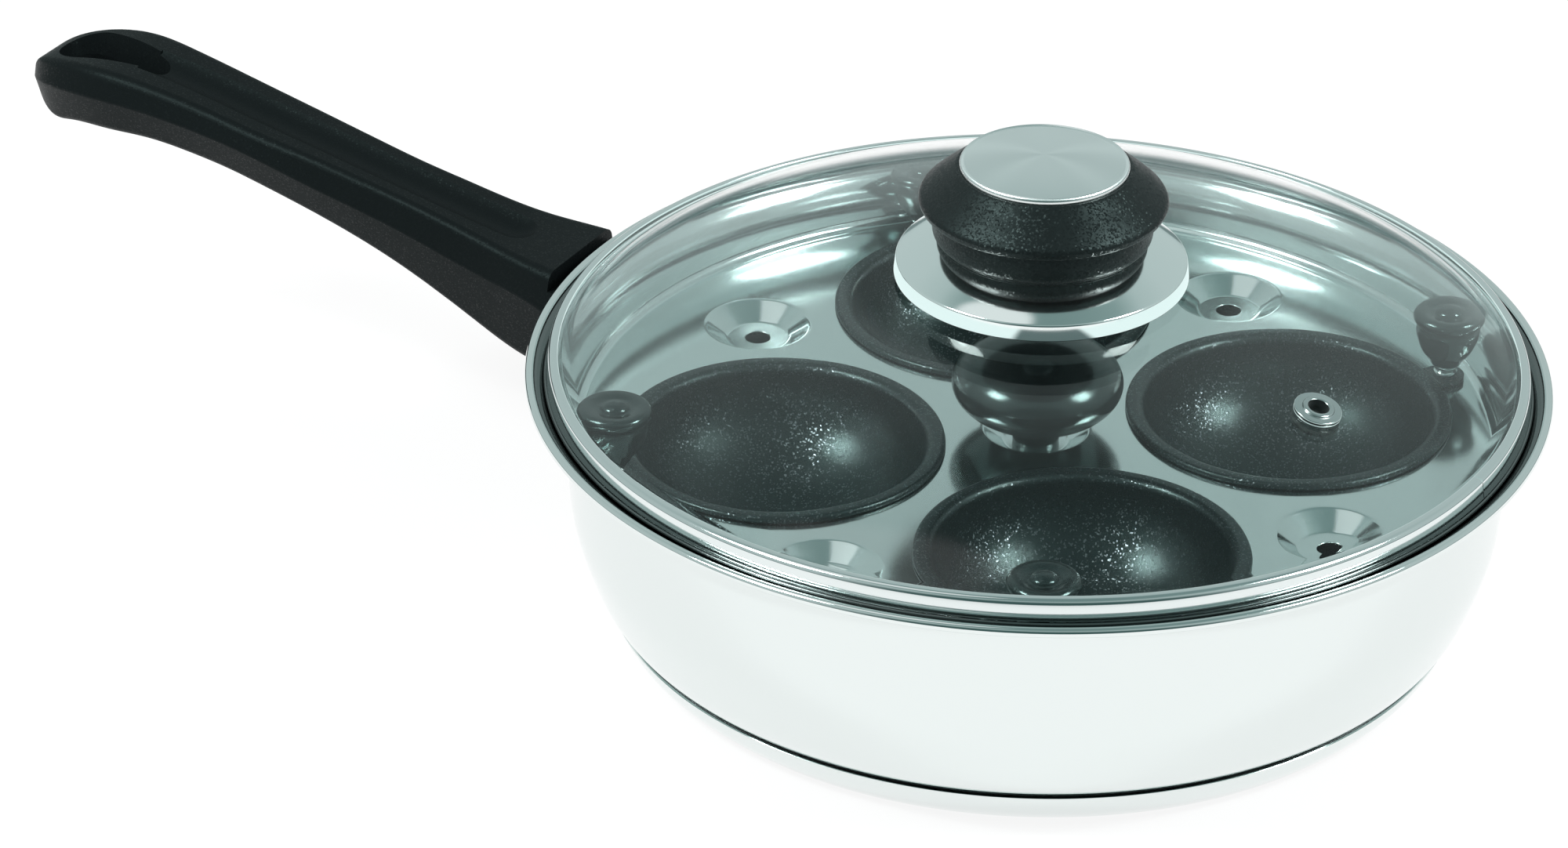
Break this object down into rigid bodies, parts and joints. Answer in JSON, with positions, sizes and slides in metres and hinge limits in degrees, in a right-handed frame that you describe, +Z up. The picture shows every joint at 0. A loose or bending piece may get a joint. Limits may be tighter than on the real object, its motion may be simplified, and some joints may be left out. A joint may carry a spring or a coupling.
{
  "type": "egg poacher pan",
  "caption": "Stainless steel egg poacher pan with a domed glass lid, a lift-out tray, non-stick egg cups and black phenolic handle and knobs.",
  "frame": {"origin": "centre of the flat underside of the base, where the pan rests on the hob", "axes": "+Z up along the pan's axis, -X along the handle, so +X points away from the handle"},
  "size_m": [0.3694, 0.22, 0.1095],
  "materials": {
    "polished_steel": "mirror polished stainless steel",
    "satin_steel": "satin stainless steel",
    "core_aluminium": "plain aluminium disc",
    "clear_glass": "clear tempered glass",
    "black_phenolic": "black moulded phenolic, satin to glossy",
    "nonstick_coating": "aluminium with dark speckled non-stick coating",
    "black_rubber": "matte heat resistant rubber"
  },
  "bodies": {
    "pan": {"pan_body": "polished_steel", "base_capsule": "satin_steel", "base_core": "core_aluminium", "handle_grip": "black_phenolic", "handle_bracket": "satin_steel", "handle_screw": "satin_steel"},
    "tray": {"poacher_tray": "polished_steel", "tray_knob": "black_phenolic", "tray_knob_washer": "satin_steel", "tray_knob_screw": "satin_steel"},
    "lid": {"lid_glass": "clear_glass", "lid_band": "polished_steel", "vent_eyelet": "polished_steel", "vent_washer": "satin_steel", "lid_knob_skirt": "polished_steel", "lid_knob": "black_phenolic", "lid_knob_cap": "polished_steel", "lid_knob_washer": "black_rubber", "lid_knob_screw": "satin_steel"},
    "egg_cup_right": {"cup_right": "nonstick_coating", "cup_right_ferrule": "polished_steel", "cup_right_knob": "black_phenolic"},
    "egg_cup_rear": {"cup_rear": "nonstick_coating", "cup_rear_ferrule": "polished_steel", "cup_rear_knob": "black_phenolic"},
    "egg_cup_left": {"cup_left": "nonstick_coating", "cup_left_ferrule": "polished_steel", "cup_left_knob": "black_phenolic"},
    "egg_cup_front": {"cup_front": "nonstick_coating", "cup_front_ferrule": "polished_steel", "cup_front_knob": "black_phenolic"}
  },
  "joints": [
    {"name": "tray_lift", "type": "slide", "parent": "pan", "child": "tray", "axis": [0, 0, 1], "range_m": [0, 0.08]},
    {"name": "lid_lift", "type": "slide", "parent": "tray", "child": "lid", "axis": [0, 0, 1], "range_m": [0, 0.12]},
    {"name": "cup_right_lift", "type": "slide", "parent": "tray", "child": "egg_cup_right", "axis": [0, 0, 1], "range_m": [0, 0.06]},
    {"name": "cup_rear_lift", "type": "slide", "parent": "tray", "child": "egg_cup_rear", "axis": [0, 0, 1], "range_m": [0, 0.06]},
    {"name": "cup_left_lift", "type": "slide", "parent": "tray", "child": "egg_cup_left", "axis": [0, 0, 1], "range_m": [0, 0.06]},
    {"name": "cup_front_lift", "type": "slide", "parent": "tray", "child": "egg_cup_front", "axis": [0, 0, 1], "range_m": [0, 0.06]}
  ],
  "couplings": [
    {"joint": "cup_right_lift", "follows": "lid_lift", "ratio": 0.5},
    {"joint": "cup_rear_lift", "follows": "lid_lift", "ratio": 0.5},
    {"joint": "cup_left_lift", "follows": "lid_lift", "ratio": 0.5},
    {"joint": "cup_front_lift", "follows": "lid_lift", "ratio": 0.5}
  ]
}
